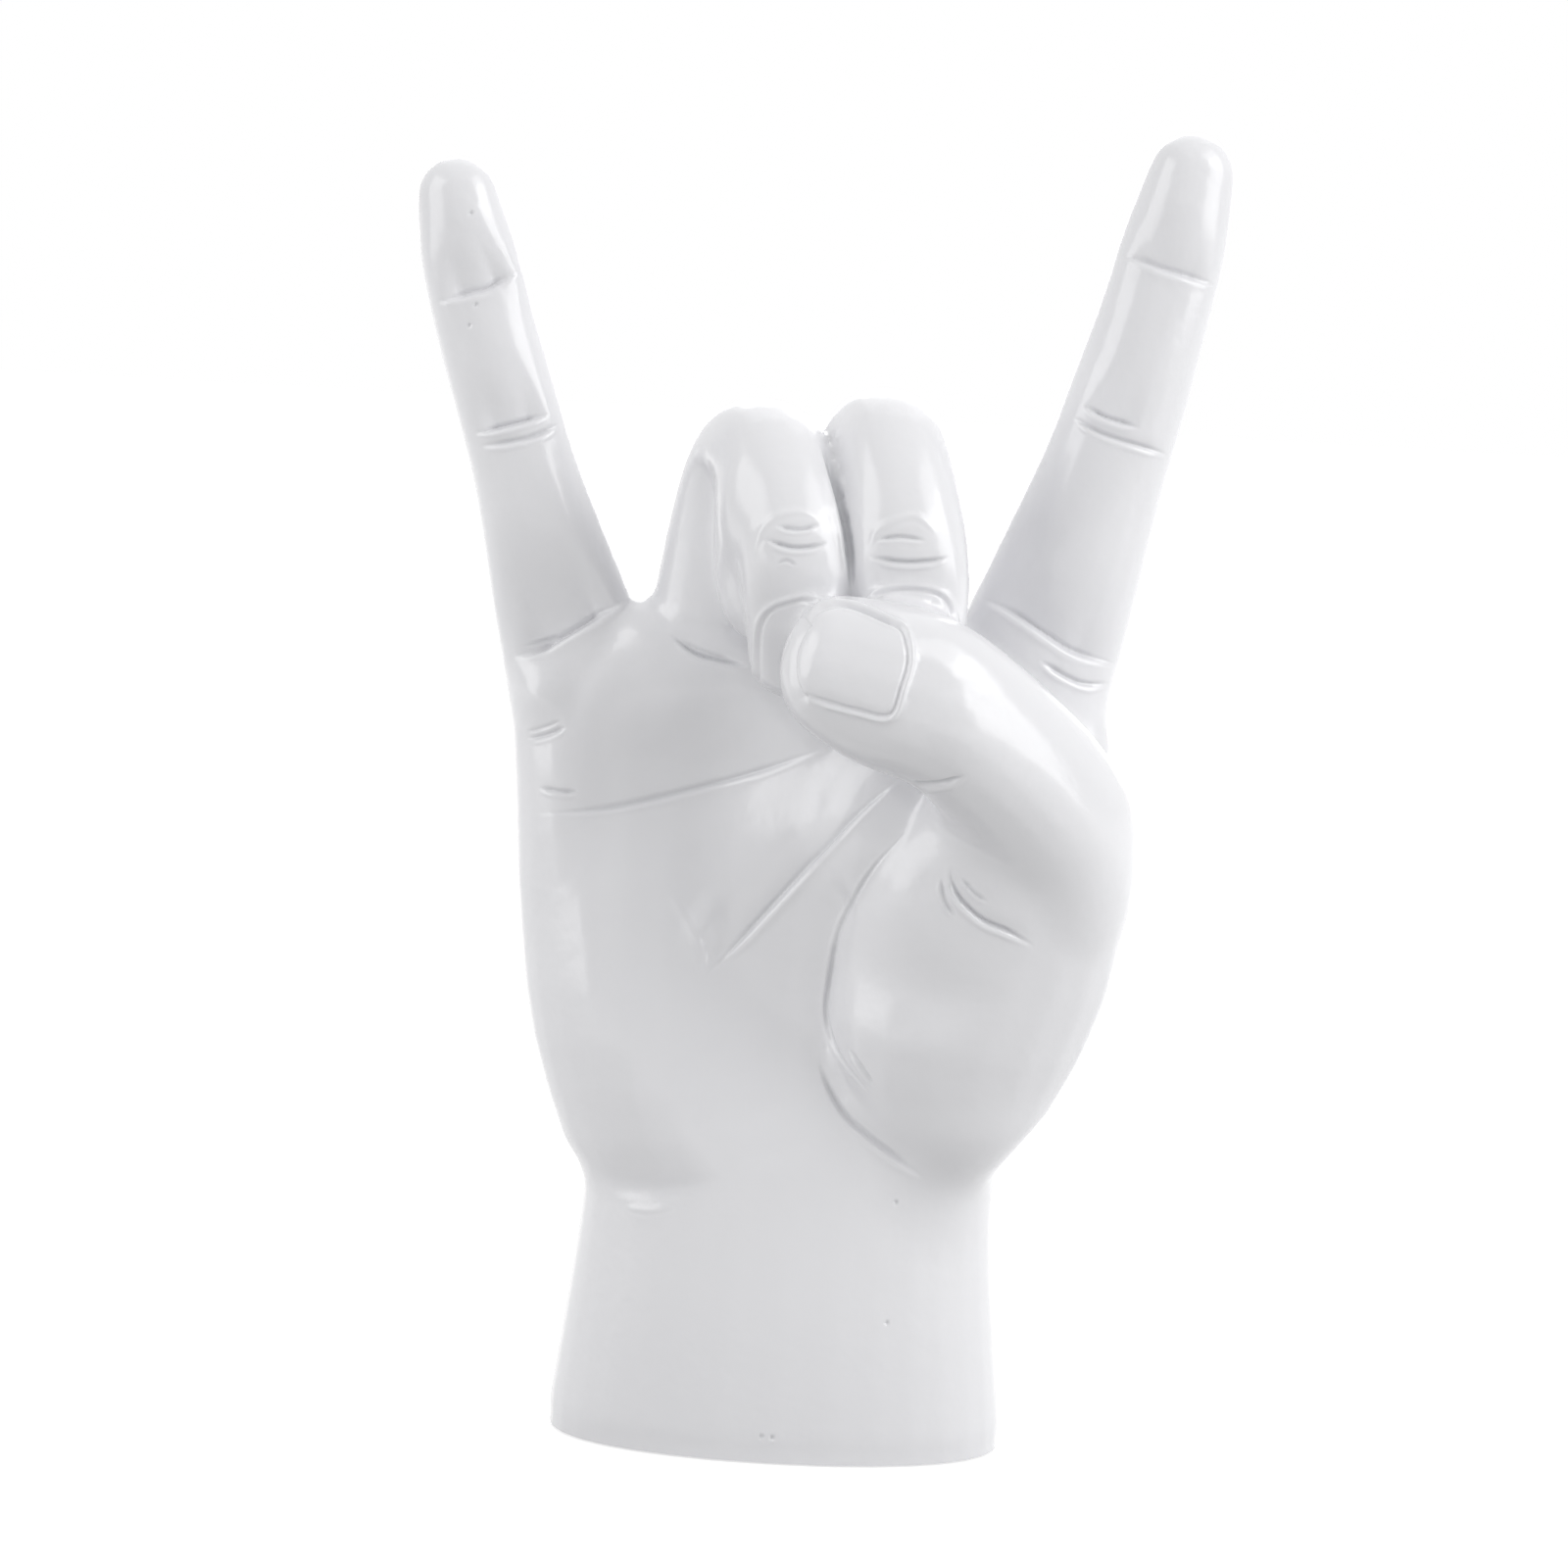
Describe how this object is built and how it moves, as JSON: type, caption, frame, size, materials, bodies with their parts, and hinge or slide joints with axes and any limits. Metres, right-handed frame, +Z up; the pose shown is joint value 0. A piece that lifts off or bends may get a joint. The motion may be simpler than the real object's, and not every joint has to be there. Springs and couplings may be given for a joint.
{
  "type": "hand sculpture",
  "caption": "Life-size right hand in the horned gesture, glossy white cast resin, standing on its flat-cut wrist as a desk or shelf ornament.",
  "frame": {"origin": "centre of the wrist's outline on the pad's underside, where the sculpture stands", "axes": "+Z up along the wrist to the raised fingers, -Y out of the palm towards the viewer, +X towards the thumb"},
  "size_m": [0.1217, 0.0671, 0.2019],
  "materials": {
    "painted_resin": "glossy white paint",
    "bare_resin": "unpainted casting",
    "steel": "drawn rod",
    "mortar": "rough cast",
    "felt": "pressed felt"
  },
  "bodies": {
    "root": {"palm": "painted_resin", "index_finger": "painted_resin", "middle_finger": "painted_resin", "ring_finger": "painted_resin", "little_finger": "painted_resin", "thumb": "painted_resin", "index_rod": "steel", "middle_rod": "steel", "ring_rod": "steel", "little_rod": "steel", "thumb_rod": "steel", "base_plug": "bare_resin", "ballast": "mortar", "base_pad": "felt"}
  },
  "joints": []
}
